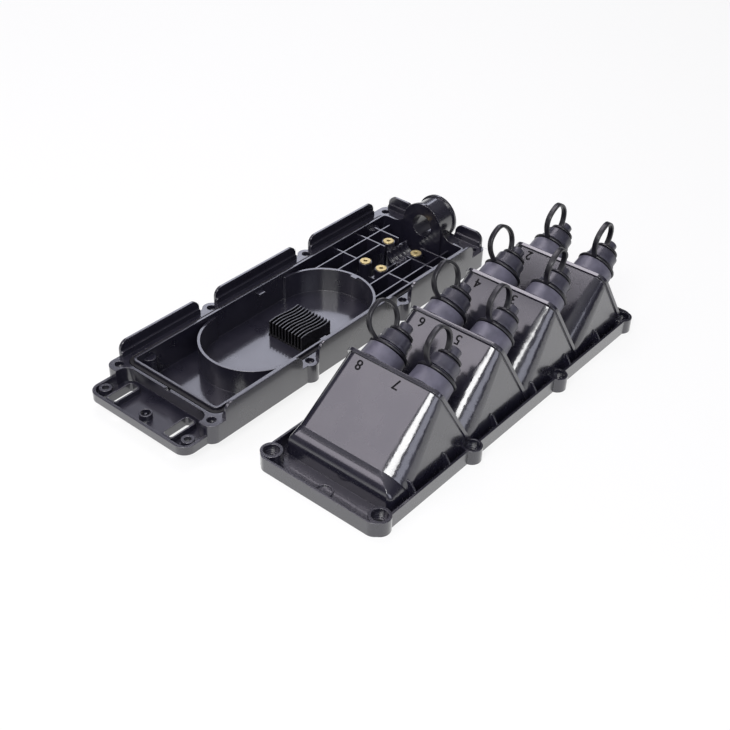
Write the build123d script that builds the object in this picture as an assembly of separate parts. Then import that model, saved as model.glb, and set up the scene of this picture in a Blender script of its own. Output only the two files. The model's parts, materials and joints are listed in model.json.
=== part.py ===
"""An eight-port fibre terminal, unscrewed: the open base tray and, beside it, its ported cover."""

from build123d import *
import math
import os

os.makedirs("parts", exist_ok=True)

# How far a wall or rib is let into what it stands on
bite = 0.6
# How far a cut runs past the face that it goes through
over = 1.0
# A reach past everything, for cuts with an open side
beyond = 400.0
# How close two corners lie when they count as one
near_enough = 0.001

# How the two mouldings lie: tray behind, cover in front, both along X
tray_across_offset = 148.0
tray_along_offset = -5.2

# Cover screws, shared by both mouldings: distances between the four rows
screw_pitches = (103.0, 117.5, 108.5)
corner_screw_half = 51.4
mid_screw_half = 55.5
screw_shank_r = 2.2
screw_head_r = 3.6

# Cover: rim, trough and walls
cover_length = 350.0
cover_width = 115.0
cover_corner = 9.0
cover_rim_height = 13.0
cover_rim_wall = 2.0
cover_floor = 3.0
cover_wall = 2.6
cover_screw_margin = 11.0
cover_corner_boss_r = 8.7
cover_mid_boss_r = 8.0
cover_head_depth = 6.0
screw_access_r = 4.6

# Humps: leaning end faces, sloping panels
face_lean = 28.8
face_foot_height = 18.6
first_face_x = 115.2
hump_pitch = 74.6
last_hump_pitch = 71.2
hump_face_height = 61.7
last_face_height = 51.2
valley_height = 8.4
flank_half_at_floor = 52.0
flank_draft = 8.0
shoulder_low_r = 22.0
shoulder_high_r = 10.0
shoulder_left_r = 9.0
lip_thick = 3.0
lip_proud = 1.6
lip_corner_r = 9.0
nose_front_x = 24.0
nose_front_height = 19.5
nose_crease_x = 35.6
nose_crease_height = 25.7
nose_round = 5.0
crease_step = 0.9

# Small forms in the cover's trough
gusset_places = (45.5, 86.0, 146.0, 200.0, 250.0, 296.0)
gusset_thick = 1.5
gusset_rise = 8.5
gusset_reach = 5.5
pad_r = 7.0
pad_height = 1.2
pad_wall = 1.2

# Ports: two on each end face, on one axis square to it
port_half_spacing = 22.5
port_below_top = 19.0
barrel_r = 12.3
barrel_clearance = 0.15
barrel_depth = 14.0
socket_r = 7.6
socket_web = 2.5
web_depth = 3.0
sleeve_r = 3.2
sleeve_bore_r = 1.3
sleeve_length = 9.0
collar_seal_thick = 1.0
collar_seal_inset = 0.8
collar_r = 17.3
collar_top_r = 16.2
collar_length = 12.6
ring_seat_length = 3.6
ring_seat_r = 12.0
keeper_thick = 0.9
keeper_r = 13.0
thread_r = 10.5
thread_length = 9.5
nut_across_flats = 25.0
nut_thick = 5.0

# Dust caps, along the same axis
cap_clearance = 0.25
cap_wall = 1.5
cap_start_gap = 0.6
cap_flange_r = 13.4
cap_flange_thick = 2.6
cap_length = 12.0
cap_step_r = 9.6
cap_end_slope = 2.0
cap_seal_thick = 1.4
neck_r = 4.7
neck_length = 3.2
knob_r = 5.5
knob_length = 7.2
knob_edge = 1.0
knob_hole_r = 2.1
knob_hole_depth = 5.0

# Tethers: ring, strap loop and eyelet
tether_gap = 0.3
tether_ring_r = 17.0
tether_ring_thick = 2.8
eyelet_r = 8.4
eyelet_thick = 2.0
strap_width = 4.0
strap_thick = 1.9
loop_height = 38.0
loop_out = 44.5
loop_back = 14.8
loop_root_r = 11.0
loop_corner_r = 9.0
loop_turn_in = 6.0
loop_leans = (-4.0, 3.0, 5.0, -3.0, 2.0, -6.0, -5.0, 4.0)

# Tray: belly, flange block, rim and seal
tray_half_width = 59.5
tray_end_margin = 8.2
tray_far_margin = 10.5
tray_corner = 8.0
tray_under = 9.6
tray_ledge = 26.4
tray_wall = 2.6
tray_boss_r = 7.6
opening_near = 11.1
opening_far = 320.4
opening_half_width = 45.3
opening_corner = 3.0
tray_floor = 2.4
rim_ridge_wide = 2.2
rim_ridge_high = 2.4
groove_wide = 3.6
groove_deep = 3.0
seal_side_gap = 0.2
seal_proud = 0.4
channel_roof = 6.2
insert_head_depth = 4.0

# Tray: skirts
skirt_height = 13.4
skirt_thick = 2.4
skirt_start_gap = 7.0
skirt_end_gap = 12.0
skirt_corner = 7.5
skirt_step_thick = 1.7
skirt_step_high = 5.0
skirt_step_corner = 2.0
end_skirt_start = 25.0
end_skirt_end = 54.0

# Tray: mounting tab and the scooped end wall above it
tab_reach = 30.9
tab_half_width = 54.5
tab_corner = 10.0
tab_top = 17.3
tab_floor = 12.2
tab_rim_wall = 2.6
scoop_half_width = 46.0
scoop_back_low = 5.4
scoop_back_high = 2.6
scoop_corner = 8.0
strap_slot_half = 31.4
strap_slot_x = -14.5
strap_slot_length = 24.0
strap_slot_width = 9.0
strap_slot_corner = 2.0
slot_collar_wall = 1.5
tab_hole_x = -19.5
tab_hole_half = 46.0
tab_hole_r = 2.6
tab_ring_r = 5.2
tab_pin_r = 1.2
tab_pin_below = 1.0
notch_r = 3.0
notch_deep = 2.0

# Tray: fibre basin, clips, rib grid, columns and cradle
inner_wall_top = 25.0
basin_near_x = 97.1
basin_far_x = 180.3
basin_wall = 2.6
rib_wall = 1.7
outer_rib_half = 34.3
inner_rib_half = 18.3
grid_cross_near = 247.5
grid_cross_mid = 281.0
grid_cross_far = 301.0
grid_end = 314.0
wall_column_r = 5.7
wall_column_top = 23.0
wall_column_near = 25.0
wall_column_far = 302.5
insert_r = 5.0
insert_hole_r = 1.6
insert_length = 6.0
insert_proud = 0.9
insert_column_wall = 0.9
insert_fit = 0.02
insert_near = (248.7, 9.1)
insert_far = (289.9, 16.0)
cradle_near = 281.5
cradle_far = 311.0
cradle_axis_height = 19.5
cradle_r = 11.5
cradle_wall = 1.6
cradle_ridge_pitch = 5.5
cradle_clear = 1.2
cradle_foot = 4.0
clip_wide = 7.0
clip_thick = 1.8
clip_reach = 5.0

# Tray: cable gland and its arch
gland_axis_height = 36.0
gland_bore_r = 10.5
arch_x = 318.0
arch_thick = 3.0
arch_r = 21.6
arch_flare_r = 13.0
drum_r = 19.3
drum_end_x = 341.0
rear_flange_r = 21.0
rear_flange_thick = 2.5
dock_clearance = 0.8

# Splice comb
comb_near = 131.0
comb_far = 167.0
comb_low = -22.0
comb_high = 17.0
comb_base = 1.6
comb_height = 14.0
comb_fins = 9
comb_fin_thick = 1.5
comb_wave = 1.2
comb_waves = 4

# Places and directions worked out from the sizes above
lean = math.radians(face_lean)
face_out = Vector(math.cos(lean), 0, math.sin(lean))
face_up = Vector(-math.sin(lean), 0, math.cos(lean))
far_face_x = first_face_x + 2 * hump_pitch + last_hump_pitch
face_feet = [
    Vector(first_face_x, 0, face_foot_height),
    Vector(first_face_x + hump_pitch, 0, face_foot_height),
    Vector(first_face_x + 2 * hump_pitch, 0, face_foot_height),
    Vector(far_face_x, 0, face_foot_height),
]
face_heights = [hump_face_height, hump_face_height, hump_face_height, last_face_height]
crease_rise = (nose_crease_height - face_foot_height) / math.cos(lean)
crease_foot = Vector(nose_crease_x, 0, nose_crease_height) - face_up * crease_rise
nut_top = cover_wall
collar_start = collar_seal_thick
collar_end = collar_start + collar_length
ring_seat_end = collar_end + ring_seat_length
thread_start = ring_seat_end + keeper_thick
thread_end = thread_start + thread_length
cap_start = thread_start + cap_start_gap
cap_bore_r = thread_r + cap_clearance
cap_inside = thread_end + tether_gap + cap_seal_thick
cap_end = cap_start + cap_length
neck_end = cap_end + neck_length
knob_end = neck_end + knob_length
seal_wide = groove_wide - 2 * seal_side_gap
screw_rows = [0.0]
for pitch in screw_pitches:
    screw_rows.append(screw_rows[-1] + pitch)
tray_far_x = screw_rows[-1] + tray_far_margin
gland_end_x = drum_end_x + rear_flange_thick
screw_reach = mid_screw_half + cover_mid_boss_r
low_x = min(0.0, tray_along_offset - tab_reach)
far_port_x = far_face_x - (last_face_height - port_below_top) * math.sin(lean)
far_knob_x = far_port_x + knob_end * math.cos(lean) + (knob_r - knob_edge) * math.sin(lean)
high_x = max(cover_length, far_knob_x, tray_along_offset + gland_end_x)
low_y = -screw_reach
high_y = tray_across_offset + mid_screw_half + tray_boss_r
cover_place = Pos(-(low_x + high_x) / 2, -(low_y + high_y) / 2, 0)
tray_place = cover_place * Pos(tray_along_offset, tray_across_offset, 0)


def screw_points(near_x):
    """Give (along, across, is_corner) of the eight cover screws, the near row at near_x."""
    points = []
    for row in screw_rows:
        is_corner = row in (screw_rows[0], screw_rows[-1])
        half = corner_screw_half if is_corner else mid_screw_half
        for side in (-1, 1):
            points.append((near_x + row, side * half, is_corner))
    return points


def post(x, y, low, high, radius):
    """An upright round post between two heights."""
    return Pos(x, y, low) * extrude(Circle(radius), high - low)


def slab(x_low, x_high, half_width, low, high, corner):
    """An upright slab with rounded corners, symmetrical about its long centre line."""
    outline = RectangleRounded(x_high - x_low, 2 * half_width, corner)
    return Pos((x_low + x_high) / 2, 0, low) * extrude(outline, high - low)


def block(x_low, x_high, y_low, y_high, z_low, z_high):
    """A square-edged block between the given planes."""
    middle = Pos((x_low + x_high) / 2, (y_low + y_high) / 2, (z_low + z_high) / 2)
    return middle * Box(x_high - x_low, y_high - y_low, z_high - z_low)


def revolved(points):
    """A body turned about local Z from (radius, height) points."""
    outline = make_face(Polyline([(r, 0, z) for r, z in points], close=True).edges())
    return revolve(outline, Axis.Z, 360)


def face_plane(foot):
    """The leaning plane through a face's foot: local X is across, local Y is up the face."""
    return Plane(origin=foot, x_dir=(0, 1, 0), z_dir=face_out)


def flank_half(height):
    """Half the hump's width at a height above the cover's base."""
    return flank_half_at_floor - height * math.tan(math.radians(flank_draft))


def hump_section(foot, top, grow, right_r, left_r):
    """One cross-section of a hump in a leaning plane, with its two rounded shoulders."""
    bottom = -(foot.Z + cover_floor * 2) / math.cos(lean)
    half_low = flank_half(foot.Z + bottom * math.cos(lean)) + grow
    half_top = flank_half(foot.Z + top * math.cos(lean)) + grow
    corners = [(-half_low, bottom), (half_low, bottom), (half_top, top), (-half_top, top)]
    outline = make_face(Polyline(corners, close=True).edges())
    by_place = outline.vertices().group_by(Axis.Y)[-1].sort_by(Axis.X)
    outline = fillet(by_place[-1], left_r)
    by_place = outline.vertices().filter_by(lambda v: abs(v.X + half_top) < near_enough)
    outline = fillet(by_place, right_r)
    return face_plane(foot) * outline


def height_in_plane(foot, start, end):
    """How far up a leaning plane the line from start to end crosses it."""
    run = end - start
    reach = start - foot
    return (reach.X * run.Z - reach.Z * run.X) / (face_up.X * run.Z - face_up.Z * run.X)


def hump_bodies(inset):
    """The four humps, drawn in by a wall's thickness for the space inside them."""
    bodies = []
    low_foot = crease_foot
    low_top = crease_rise - crease_step
    for foot, face_height in zip(face_feet, face_heights):
        start = low_foot + face_up * low_top
        end = foot + face_up * (face_height - lip_proud)
        slope = (end - start).normalized()
        inward = Vector(slope.Z, 0, -slope.X) * inset
        planes = []
        for plane_foot in (low_foot, foot):
            near = plane_foot - face_out * inset
            planes.append((near, height_in_plane(near, start + inward, end + inward)))
        low = hump_section(*planes[0], -inset, shoulder_low_r - inset, shoulder_left_r - inset)
        high = hump_section(*planes[1], -inset, shoulder_high_r - inset, shoulder_left_r - inset)
        bodies.append(loft([low, high], ruled=True))
        low_foot = foot
        low_top = valley_height
    return bodies


def nose(inset):
    """The blunt front end of the first hump, up to the crease."""
    near = crease_foot - face_out * inset
    top = crease_rise - inset
    low = hump_section(near, top, -inset, shoulder_low_r - inset, shoulder_left_r - inset)
    front_foot = Vector(nose_front_x + inset, 0, 0)
    front_top = nose_front_height - inset
    half_low = flank_half(-cover_floor) - inset
    half_top = flank_half(front_top) - inset
    corners = [
        (-half_low, -cover_floor * 2),
        (half_low, -cover_floor * 2),
        (half_top, front_top),
        (-half_top, front_top),
    ]
    outline = make_face(Polyline(corners, close=True).edges())
    by_place = outline.vertices().group_by(Axis.Y)[-1].sort_by(Axis.X)
    outline = fillet(by_place[-1], shoulder_left_r - inset)
    by_place = outline.vertices().filter_by(lambda v: abs(v.X + half_top) < near_enough)
    outline = fillet(by_place, nose_front_height / 2)
    front = Plane(origin=front_foot, x_dir=(0, 1, 0), z_dir=(1, 0, 0)) * outline
    body = loft([front, low], ruled=True)
    if inset == 0:
        front_edges = body.faces().sort_by(Axis.X)[0].edges().sort_by(Axis.Z)[1:]
        body = fillet(front_edges, nose_round)
    return body


def port_planes():
    """The eight port planes by port number: local Z is the port's axis, local Y is up."""
    planes = {}
    for index, (foot, face_height) in enumerate(zip(face_feet, face_heights)):
        centre = foot + face_up * (face_height - port_below_top)
        for side in (-1, 1):
            number = 7 - 2 * index + (side + 1) // 2
            origin = centre + Vector(0, side * port_half_spacing, 0)
            planes[number] = Plane(origin=origin, x_dir=(0, 1, 0), z_dir=face_out)
    return planes


def lips():
    """The thin proud lip round each end face."""
    bodies = []
    for foot, face_height in zip(face_feet, face_heights):
        top = face_height
        outline = hump_section(foot, top, lip_proud, lip_corner_r, lip_corner_r)
        bodies.append(extrude(outline, -lip_thick))
    return bodies


def gussets():
    """The small sloping webs between rim and flank, down both sides."""
    bodies = []
    rim_inside = cover_width / 2 - cover_rim_wall / 2
    top = cover_rim_height - cover_floor / 2 + gusset_rise
    for x in gusset_places:
        for side in (-1, 1):
            points = [
                (side * rim_inside, 0),
                (side * rim_inside, cover_rim_height - cover_floor / 3),
                (side * (rim_inside - gusset_reach), top),
                (side * (rim_inside - 3 * gusset_reach), top),
                (side * (rim_inside - 3 * gusset_reach), 0),
            ]
            outline = make_face(Polyline(points, close=True).edges())
            web = Plane(origin=(x, 0, 0), x_dir=(0, 1, 0), z_dir=(1, 0, 0)) * outline
            bodies.append(extrude(web, gusset_thick / 2, both=True))
    return bodies


def cover_shell():
    """The whole cover moulding."""
    rim_x = (0, cover_length)
    half = cover_width / 2
    outside = slab(*rim_x, half, 0, cover_rim_height, cover_corner)
    inner_corner = cover_corner - cover_rim_wall
    trough = slab(
        cover_rim_wall,
        cover_length - cover_rim_wall,
        half - cover_rim_wall,
        cover_floor,
        cover_rim_height,
        inner_corner,
    )
    body = outside - trough
    body = body + nose(0)
    for part in hump_bodies(0) + lips() + gussets():
        body = body + part
    inside = nose(cover_wall)
    for part in hump_bodies(cover_wall):
        inside = inside + part
    body = body - inside
    below = block(-beyond, 2 * beyond, -beyond, beyond, -beyond, 0)
    body = body - below
    dock_x = arch_x + cover_screw_margin
    dock_height = gland_axis_height - tray_ledge
    dock_r = arch_r + dock_clearance
    dock_shape = Plane(origin=(dock_x, 0, dock_height), x_dir=(0, 1, 0), z_dir=(1, 0, 0))
    dock_space = extrude(dock_shape * Circle(dock_r), cover_length)
    dock_space += block(dock_x, dock_x + cover_length, -dock_r, dock_r, -over, dock_height)
    shell_shape = Plane(
        origin=(dock_x - cover_wall, 0, dock_height), x_dir=(0, 1, 0), z_dir=(1, 0, 0)
    )
    hood_r = dock_r + cover_wall
    hood_end = cover_length - cover_rim_wall
    hood_length = hood_end - dock_x + cover_wall
    hood = extrude(shell_shape * Circle(hood_r), hood_length)
    hood += block(dock_x - cover_wall, hood_end, -hood_r, hood_r, 0, dock_height)
    body = body + (hood - below)
    body = body - dock_space
    for x, y, is_corner in screw_points(cover_screw_margin):
        radius = cover_corner_boss_r if is_corner else cover_mid_boss_r
        body = body + post(x, y, 0, cover_rim_height, radius)
    for x, y, is_corner in screw_points(cover_screw_margin):
        body = body - post(x, y, -over, cover_rim_height + over, screw_shank_r)
        body = body - post(x, y, cover_rim_height - cover_head_depth, cover_rim_height, screw_head_r)
        body = body - post(x, y, cover_rim_height, 2 * cover_rim_height, screw_access_r)
    pad = post(cover_screw_margin, 0, 0, cover_floor + pad_height, pad_r)
    pad -= post(cover_screw_margin, 0, cover_floor, 2 * cover_floor + pad_height, pad_r - pad_wall)
    body = body + pad
    for plane in port_planes().values():
        hole = extrude(Circle(barrel_r + barrel_clearance), barrel_depth, both=True)
        body = body - plane * hole
    return body


def adapter():
    """One port adapter about local Z: barrel, socket, collar, ring seat and thread."""
    outside = revolved(
        [
            (socket_r, -barrel_depth),
            (barrel_r, -barrel_depth),
            (barrel_r, collar_start),
            (collar_r, collar_start),
            (collar_top_r, collar_end),
            (ring_seat_r, collar_end),
            (ring_seat_r, ring_seat_end),
            (keeper_r, ring_seat_end),
            (keeper_r, thread_start),
            (thread_r, thread_start),
            (thread_r, thread_end),
            (socket_r, thread_end),
        ]
    )
    web = post(0, 0, -web_depth - socket_web, -web_depth, socket_r + bite)
    sleeve = post(0, 0, -web_depth, -web_depth + sleeve_length, sleeve_r)
    hole = post(0, 0, -barrel_depth, thread_end, sleeve_bore_r)
    return outside + web + sleeve - hole


def adapter_nut():
    """One flanged clamping nut behind the end face."""
    hexagon = RegularPolygon(nut_across_flats / 2, 6, major_radius=False)
    ring = extrude(hexagon - Circle(barrel_r + barrel_clearance), nut_thick)
    return Pos(0, 0, -nut_top - nut_thick) * ring


def adapter_seal():
    """One flat washer under an adapter's collar."""
    ring = Circle(collar_r - collar_seal_inset) - Circle(barrel_r + barrel_clearance)
    return extrude(ring, collar_seal_thick)


def dust_cap():
    """One dust cap about local Z: flange, threaded skirt, neck and knob."""
    flange_end = cap_start + cap_flange_thick
    body_r = cap_bore_r + cap_wall
    step_start = cap_end - cap_end_slope
    body = revolved(
        [
            (cap_bore_r, cap_start),
            (cap_flange_r, cap_start),
            (cap_flange_r, flange_end),
            (body_r, flange_end),
            (body_r, step_start),
            (cap_step_r, cap_end),
            (neck_r, cap_end),
            (neck_r, neck_end),
            (knob_r, neck_end),
            (knob_r, knob_end - knob_edge),
            (knob_r - knob_edge, knob_end),
            (0, knob_end),
            (0, cap_inside),
            (cap_bore_r, cap_inside),
        ]
    )
    return body - post(0, 0, knob_end - knob_hole_depth, knob_end + over, knob_hole_r)


def cap_seal():
    """One flat seal at the bottom of a dust cap."""
    ring = Circle(thread_r) - Circle(socket_r)
    return Pos(0, 0, cap_inside - cap_seal_thick) * extrude(ring, cap_seal_thick)


def tether(lean_angle):
    """One tether: ring on the adapter, strap loop and eyelet on the cap's neck."""
    ring_low = collar_end + (ring_seat_length - tether_ring_thick) / 2
    ring = Circle(tether_ring_r) - Circle(ring_seat_r + tether_gap)
    body = Pos(0, 0, ring_low) * extrude(ring, tether_ring_thick)
    eyelet_low = cap_end + (neck_length - eyelet_thick) / 2
    eyelet = Circle(eyelet_r) - Circle(neck_r + tether_gap)
    body += Pos(0, 0, eyelet_low) * extrude(eyelet, eyelet_thick)
    ring_middle = ring_low + tether_ring_thick / 2
    eyelet_middle = eyelet_low + eyelet_thick / 2
    points = [
        (0, tether_ring_r - strap_thick, ring_middle),
        (0, tether_ring_r + loop_corner_r, loop_back),
        (0, loop_height, loop_back + loop_corner_r),
        (0, loop_height, loop_out - loop_corner_r),
        (0, tether_ring_r + loop_turn_in, loop_out),
        (0, neck_r + tether_gap + strap_thick / 2, eyelet_middle),
    ]
    path = FilletPolyline(points, radius=[loop_root_r, loop_corner_r, loop_corner_r, loop_corner_r])
    start = path @ 0
    section = Plane(origin=start, x_dir=(1, 0, 0), z_dir=path % 0) * Rectangle(strap_width, strap_thick)
    strap = sweep(section, path=path)
    body = body + strap
    return Rot(0, 0, lean_angle) * body


def tray_scoop():
    """The space scooped out over the tab, its back leaning."""
    points = [
        (-2 * tab_reach, tab_floor),
        (scoop_back_low, tab_floor),
        (scoop_back_high, tray_ledge),
        (-2 * tab_reach, tray_ledge),
    ]
    outline = make_face(Polyline([(x, 0, z) for x, z in points], close=True).edges())
    space = extrude(outline, scoop_half_width, both=True)
    uprights = space.faces().sort_by(Axis.X)[-1].edges().sort_by(Axis.Y)
    return fillet([uprights[0], uprights[-1]], scoop_corner)


def tray_tab():
    """The mounting tab: raised rim, sunk floor, strap slots and ringed holes."""
    body = slab(-tab_reach, tray_end_margin, tab_half_width, tray_under, tab_top, tab_corner)
    body -= slab(
        -tab_reach + tab_rim_wall,
        2 * tray_end_margin,
        tab_half_width - tab_rim_wall,
        tab_floor,
        tab_top,
        tab_corner - tab_rim_wall,
    )
    for side in (-1, 1):
        y = side * strap_slot_half
        collar_size = (strap_slot_length + 2 * slot_collar_wall, strap_slot_width + 2 * slot_collar_wall)
        collar_corner = strap_slot_corner + slot_collar_wall
        collar = extrude(RectangleRounded(*collar_size, collar_corner), tab_top - tray_under)
        body += Pos(strap_slot_x, y, tray_under) * collar
        body += post(tab_hole_x, side * tab_hole_half, tray_under, tab_top, tab_ring_r)
    body += post(tab_hole_x, 0, tray_under, tab_top, tab_ring_r)
    body -= post(tab_hole_x, 0, tab_floor, tab_top, tab_ring_r - slot_collar_wall)
    body += post(tab_hole_x, 0, tray_under, tab_top - tab_pin_below, tab_pin_r)
    for side in (-1, 1):
        body -= post(tab_hole_x, side * tab_hole_half, 0, tab_top + over, tab_hole_r)
    return body


def strap_slots():
    """The two strap slots, which pass through the tab and the tray's plate behind it."""
    outline = RectangleRounded(strap_slot_length, strap_slot_width, strap_slot_corner)
    slot = extrude(outline, tab_top + over)
    return [Pos(strap_slot_x, side * strap_slot_half, 0) * slot for side in (-1, 1)]


def skirt(length, outline_corner):
    """One upright skirt along local X from 0, standing on z = 0, outer face at y = 0."""
    sheet = Plane.XZ * Pos(length / 2, 0, 0) * RectangleRounded(length, 2 * skirt_height, outline_corner)
    body = extrude(sheet, skirt_thick)
    outline = RectangleRounded(length, 2 * skirt_step_high, skirt_step_corner)
    step = Plane.XZ * Pos(length / 2, 0, 0) * outline
    body += Pos(0, -skirt_thick, 0) * extrude(step, skirt_step_thick)
    return body - block(-over, length + over, -beyond, beyond, -beyond, -bite)


def tray_skirts():
    """The six long skirts between the bosses and the two on the far end."""
    bodies = []
    for start, end in zip(screw_rows, screw_rows[1:]):
        low = start + skirt_start_gap
        length = end - skirt_end_gap - low
        one = skirt(length, skirt_corner)
        bodies.append(Pos(low, tray_half_width, tray_ledge) * one)
        turned = Pos(low + length, -tray_half_width, tray_ledge) * Rot(0, 0, 180) * one
        bodies.append(turned)
    length = end_skirt_end - end_skirt_start
    for low in (end_skirt_start, -end_skirt_end):
        one = skirt(length, skirt_corner)
        bodies.append(Pos(tray_far_x, low + length, tray_ledge) * Rot(0, 0, -90) * one)
    return bodies


def gland():
    """The cable gland: flared arch flange, drum and rear flange, without its bore."""
    across = Plane(origin=(arch_x, 0, 0), x_dir=(0, 1, 0), z_dir=(1, 0, 0))
    flare_x = arch_r + arch_flare_r - bite
    foot = tray_ledge - bite
    outline = Pos(0, (foot + gland_axis_height) / 2) * Rectangle(2 * flare_x, gland_axis_height - foot)
    flare_z = tray_ledge + rim_ridge_high + arch_flare_r
    for side in (-1, 1):
        outline -= Pos(side * flare_x, flare_z) * Circle(arch_flare_r)
    outline += Pos(0, gland_axis_height) * Circle(arch_r)
    body = extrude(across * outline, arch_thick)
    axis_plane = Plane(origin=(arch_x, 0, gland_axis_height), x_dir=(0, 1, 0), z_dir=(1, 0, 0))
    body += extrude(axis_plane * Circle(drum_r), drum_end_x - arch_x)
    rear = axis_plane * Pos(0, 0, drum_end_x - arch_x) * Circle(rear_flange_r)
    body += extrude(rear, rear_flange_thick)
    return body


def half_ring(x, radius, wall, low, high, facing):
    """Half a round upright wall, open towards -facing."""
    ring = extrude(Circle(radius) - Circle(radius - wall), high - low)
    keep = block(0, 2 * radius, -2 * radius, 2 * radius, 0, high - low)
    if facing < 0:
        keep = block(-2 * radius, 0, -2 * radius, 2 * radius, 0, high - low)
    return Pos(x, 0, low) * (ring & keep)


def tray_inside():
    """Everything that stands on the tray's floor."""
    top = inner_wall_top
    floor = tray_floor - bite
    basin_r = opening_half_width + bite
    bodies = [
        half_ring(basin_near_x, basin_r, basin_wall, floor, top, -1),
        half_ring(basin_far_x, basin_r, basin_wall, floor, top, 1),
    ]
    half = rib_wall / 2

    def arc_x(y):
        return basin_far_x + math.sqrt(basin_r**2 - y**2) - basin_wall / 2

    for side in (-1, 1):
        y = side * outer_rib_half
        bodies.append(block(arc_x(y), grid_end, y - half, y + half, floor, top))
        y = side * inner_rib_half
        bodies.append(block(arc_x(y), grid_cross_mid, y - half, y + half, floor, top))
        low, high = sorted((side * inner_rib_half, side * (opening_half_width + bite)))
        bodies.append(block(grid_cross_near - half, grid_cross_near + half, low, high, floor, top))
        low, high = sorted((side * (cradle_r + cradle_clear), side * (opening_half_width + bite)))
        for x in (grid_cross_mid, grid_cross_far):
            bodies.append(block(x - half, x + half, low, high, floor, top))
        for x, y in (insert_near, insert_far):
            bodies.append(post(x, side * y, floor, top, insert_r + insert_column_wall))
        for x in (wall_column_near, wall_column_far):
            column = post(x, side * opening_half_width, floor, wall_column_top, wall_column_r)
            bodies.append(column)
    x = grid_cross_near
    bodies.append(block(x - half, x + half, -inner_rib_half, inner_rib_half, floor, top / 2))
    bodies.append(block(x, cradle_near, -half, half, floor, top / 2))
    return bodies


def cradle():
    """The ridged half-round cradle that the cable lies in."""
    length = cradle_far - cradle_near
    plane = Plane(origin=(cradle_near, 0, cradle_axis_height), x_dir=(0, 1, 0), z_dir=(1, 0, 0))
    ring = plane * (Circle(cradle_r) - Circle(cradle_r - cradle_wall))
    body = extrude(ring, length)
    ridge_count = int(length / cradle_ridge_pitch)
    for index in range(ridge_count):
        ridge = plane * (Circle(cradle_r - cradle_wall / 2) - Circle(cradle_r - 2 * cradle_wall))
        place = (index + 0.5) * length / ridge_count - cradle_wall / 2
        body += Pos(place, 0, 0) * extrude(ridge, cradle_wall)
    body -= block(cradle_near - over, cradle_far + over, -beyond, beyond, cradle_axis_height, beyond)
    foot_top = cradle_axis_height - cradle_r + cradle_wall / 2
    foot_half = cradle_foot / 2
    body += block(cradle_near, cradle_far, -foot_half, foot_half, tray_floor - bite, foot_top)
    return body


def basin_clips():
    """The small tongues that hold fibres down in the basin."""
    bodies = []
    low = inner_wall_top - clip_thick
    middle = (basin_near_x + basin_far_x) / 2
    for side in (-1, 1):
        wall = side * (opening_half_width + bite)
        tip = side * (opening_half_width - clip_reach)
        y_low, y_high = sorted((wall, tip))
        x = middle + side * clip_wide
        bodies.append(block(x, x + clip_wide, y_low, y_high, low, inner_wall_top))
    x = basin_far_x + opening_half_width
    bodies.append(block(x - clip_reach, x, -clip_wide / 2, clip_wide / 2, low, inner_wall_top))
    return bodies


def base_tray():
    """The whole tray moulding."""
    low_x = -tray_end_margin
    body = slab(low_x, tray_far_x, tray_half_width, tray_under, tray_ledge, tray_corner)
    belly_x = (opening_near - tray_wall, opening_far + tray_wall)
    belly_half = opening_half_width + tray_wall
    belly_corner = opening_corner + tray_wall
    body += slab(*belly_x, belly_half, 0, tray_ledge, belly_corner)
    channel_top = tray_ledge - channel_roof
    channel_half = tray_half_width - tray_wall
    for side in (-1, 1):
        y_low, y_high = sorted((side * belly_half, side * channel_half))
        body -= block(belly_x[0], belly_x[1], y_low, y_high, 0, channel_top)
    for x, y, is_corner in screw_points(0):
        body += post(x, y, tray_under, tray_ledge, tray_boss_r)
    body -= tray_scoop()
    body += tray_tab()
    for slot in strap_slots():
        body -= slot
    for part in tray_skirts():
        body += part
    body += gland()
    ridge_half = opening_half_width + rim_ridge_wide
    ridge_top = tray_ledge + rim_ridge_high
    ridge_x = (opening_near - rim_ridge_wide, opening_far + rim_ridge_wide)
    ridge_corner = opening_corner + rim_ridge_wide
    body += slab(*ridge_x, ridge_half, tray_ledge - bite, ridge_top, ridge_corner)
    hollow = slab(
        opening_near, opening_far, opening_half_width, tray_floor, 2 * ridge_top, opening_corner
    )
    arch_keep = block(arch_x, beyond, -arch_r, arch_r, 0, beyond)
    body -= hollow - arch_keep
    for part in tray_inside() + basin_clips():
        body += part
    body += cradle()
    body -= seal_path(groove_wide, tray_ledge - groove_deep, tray_ledge)
    for x, y, is_corner in screw_points(0):
        body -= post(x, y, tray_under - over, tray_ledge + over, screw_shank_r)
        body -= post(x, y, tray_ledge - insert_head_depth, tray_ledge + over, screw_head_r)
    for side in (-1, 1):
        for x, y in (insert_near, insert_far):
            low = inner_wall_top + insert_proud - insert_length
            body -= post(x, side * y, low, 2 * inner_wall_top, insert_r + insert_fit)
    bore = Plane(origin=(arch_x - over, 0, gland_axis_height), x_dir=(0, 1, 0), z_dir=(1, 0, 0))
    body -= extrude(bore * Circle(gland_bore_r), gland_end_x - arch_x + 2 * over)
    body -= post(scoop_back_high, 0, tray_ledge - notch_deep, tray_ledge + over, notch_r)
    return body


def seal_path(width, low, high):
    """The band that runs round the opening, open where the arch stands."""
    gap = rim_ridge_wide + (groove_wide - width) / 2
    inside_x = (opening_near - gap, opening_far + gap)
    inside_half = opening_half_width + gap
    outside_x = (inside_x[0] - width, inside_x[1] + width)
    band = slab(*outside_x, inside_half + width, low, high, opening_corner + gap + width)
    band -= slab(*inside_x, inside_half, low - over, high + over, opening_corner + gap)
    arch_half = arch_r + arch_flare_r + (groove_wide - width) / 2
    return band - block(arch_x, 2 * arch_x, -arch_half, arch_half, low - over, high + over)


def rim_seal():
    """The rubber cord in the groove."""
    low = tray_ledge - groove_deep
    return seal_path(seal_wide, low, tray_ledge + seal_proud)


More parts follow.
